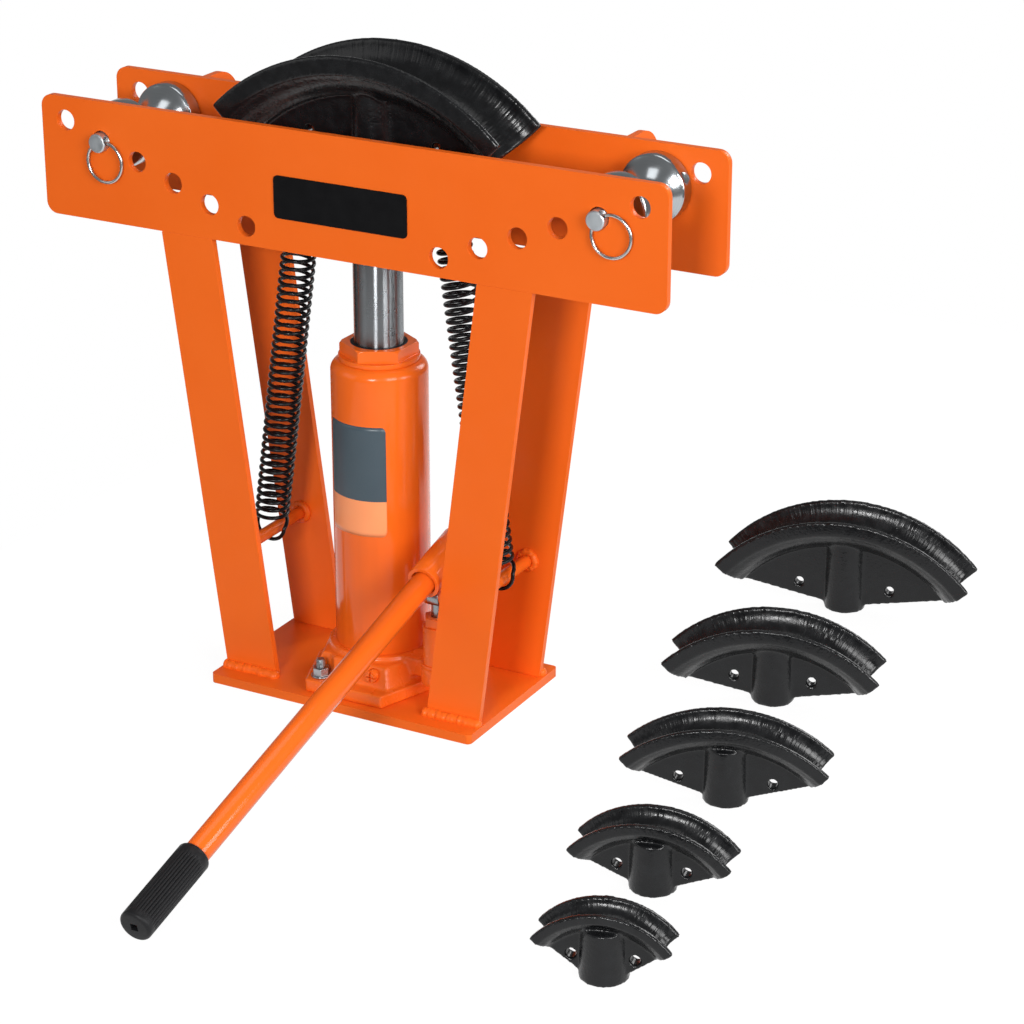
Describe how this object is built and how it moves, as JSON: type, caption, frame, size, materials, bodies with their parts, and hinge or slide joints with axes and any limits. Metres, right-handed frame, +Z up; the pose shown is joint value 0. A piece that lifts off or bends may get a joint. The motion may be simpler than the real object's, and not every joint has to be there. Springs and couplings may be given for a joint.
{
  "type": "hydraulic pipe bender",
  "caption": "Welded frame with a hand-pumped hydraulic jack that pushes a grooved bending die up between two rollers on pull-out pins, with loose dies.",
  "frame": {"origin": "centre of the base plate's underside, on the floor", "axes": "+X along the beams to the right, +Y to the back, +Z up along the ram"},
  "size_m": [0.711, 0.8372, 0.5355],
  "materials": {
    "orange_frame_paint": "gloss orange enamel over welded steel plate",
    "orange_jack_paint": "gloss orange enamel over castings and tube",
    "zinc_plated_steel": "bright zinc plating",
    "turned_roller_steel": "turned steel",
    "machined_steel": "oiled machined steel",
    "polished_ram_steel": "ground and polished steel",
    "black_rubber": "moulded seal rubber",
    "grip_rubber": "ribbed handle grip",
    "black_plate_enamel": "black enamel plate, bare",
    "black_spring_steel": "black oxide and oil",
    "black_hanger_paint": "black paint",
    "black_cast_iron": "gloss black paint over sand casting"
  },
  "bodies": {
    "frame": {"base_plate": "orange_frame_paint", "front_beam": "orange_frame_paint", "rear_beam": "orange_frame_paint", "front_left_leg": "orange_frame_paint", "front_right_leg": "orange_frame_paint", "rear_left_leg": "orange_frame_paint", "rear_right_leg": "orange_frame_paint", "left_spring_rod": "orange_frame_paint", "right_spring_rod": "orange_frame_paint", "foot_welds": "orange_frame_paint", "rod_welds": "orange_frame_paint", "left_rear_foot": "orange_frame_paint", "right_rear_foot": "orange_frame_paint", "plain_plate": "black_plate_enamel", "jack_base": "orange_jack_paint", "jack_screws": "zinc_plated_steel", "jack_nuts": "zinc_plated_steel", "pressure_cylinder": "machined_steel", "oil_tank": "orange_jack_paint", "cap_nut": "orange_jack_paint", "ram_wiper": "black_rubber", "oil_plug": "black_rubber", "pump_barrel": "orange_jack_paint", "pump_gland": "orange_jack_paint", "fulcrum_link": "orange_jack_paint", "link_pin": "zinc_plated_steel", "fulcrum_pin": "zinc_plated_steel", "left_spring": "black_spring_steel", "right_spring": "black_spring_steel"},
    "ram": {"ram": "polished_ram_steel", "piston": "machined_steel", "piston_seal": "black_rubber", "spring_hanger": "black_hanger_paint"},
    "mounted_die": {"die_2_inch": "black_cast_iron"},
    "left_roller": {"left_roller": "turned_roller_steel"},
    "right_roller": {"right_roller": "turned_roller_steel"},
    "left_pin": {"left_pin": "zinc_plated_steel"},
    "right_pin": {"right_pin": "zinc_plated_steel"},
    "left_ring": {"left_ring": "zinc_plated_steel"},
    "right_ring": {"right_ring": "zinc_plated_steel"},
    "lever": {"lever_socket": "orange_jack_paint", "plunger_pin": "zinc_plated_steel", "handle_tube": "orange_jack_paint", "handle_grip": "grip_rubber"},
    "plunger": {"pump_plunger": "machined_steel"},
    "release_valve": {"release_valve": "orange_jack_paint"},
    "loose_die_1_1_2_inch": {"die_1_1_2_inch": "black_cast_iron"},
    "loose_die_1_1_4_inch": {"die_1_1_4_inch": "black_cast_iron"},
    "loose_die_1_inch": {"die_1_inch": "black_cast_iron"},
    "loose_die_3_4_inch": {"die_3_4_inch": "black_cast_iron"},
    "loose_die_1_2_inch": {"die_1_2_inch": "black_cast_iron"}
  },
  "joints": [
    {"name": "ram_slide", "type": "slide", "parent": "frame", "child": "ram", "axis": [0, 0, 1], "range_m": [-0.1, 0.1], "deforming": ["left_spring", "right_spring"]},
    {"name": "mounted_die_lift", "type": "slide", "parent": "ram", "child": "mounted_die", "axis": [0, 0, 1], "range_m": [0, 0.08]},
    {"name": "left_roller_spin", "type": "hinge", "parent": "frame", "child": "left_roller", "pos_m": [-0.223, 0, 0.445], "axis": [0, 1, 0], "continuous": true},
    {"name": "right_roller_spin", "type": "hinge", "parent": "frame", "child": "right_roller", "pos_m": [0.223, 0, 0.445], "axis": [0, 1, 0], "continuous": true},
    {"name": "left_pin_pull", "type": "slide", "parent": "frame", "child": "left_pin", "axis": [0, -1, 0], "range_m": [0, 0.13]},
    {"name": "right_pin_pull", "type": "slide", "parent": "frame", "child": "right_pin", "axis": [0, -1, 0], "range_m": [0, 0.13]},
    {"name": "left_ring_swing", "type": "hinge", "parent": "left_pin", "child": "left_ring", "pos_m": [-0.223, -0.05727, 0.445], "axis": [-0.9563, 0, -0.2924], "range_deg": [-1.5, 95]},
    {"name": "right_ring_swing", "type": "hinge", "parent": "right_pin", "child": "right_ring", "pos_m": [0.223, -0.05727, 0.445], "axis": [-0.682, 0, -0.7314], "range_deg": [-1.5, 95]},
    {"name": "lever_swing", "type": "hinge", "parent": "frame", "child": "lever", "pos_m": [0.0695, -0.00353, 0.109], "axis": [-1, 0, 0], "range_deg": [0, 50]},
    {"name": "plunger_slide", "type": "slide", "parent": "frame", "child": "plunger", "axis": [0, 0, 1], "range_m": [-0.0005, 0.024]},
    {"name": "release_valve_turn", "type": "hinge", "parent": "frame", "child": "release_valve", "pos_m": [0.02, -0.052, 0.0285], "axis": [0, -1, 0], "range_deg": [0, 360]},
    {"name": "die_1_1_2_inch_lift", "type": "slide", "parent": "frame", "child": "loose_die_1_1_2_inch", "axis": [0, 0, 1], "range_m": [0, 0.12]},
    {"name": "die_1_1_4_inch_lift", "type": "slide", "parent": "frame", "child": "loose_die_1_1_4_inch", "axis": [0, 0, 1], "range_m": [0, 0.12]},
    {"name": "die_1_inch_lift", "type": "slide", "parent": "frame", "child": "loose_die_1_inch", "axis": [0, 0, 1], "range_m": [0, 0.12]},
    {"name": "die_3_4_inch_lift", "type": "slide", "parent": "frame", "child": "loose_die_3_4_inch", "axis": [0, 0, 1], "range_m": [0, 0.12]},
    {"name": "die_1_2_inch_lift", "type": "slide", "parent": "frame", "child": "loose_die_1_2_inch", "axis": [0, 0, 1], "range_m": [0, 0.12]}
  ],
  "couplings": [
    {"joint": "plunger_slide", "follows": "lever_swing", "m_per_rad": 0.02671}
  ]
}
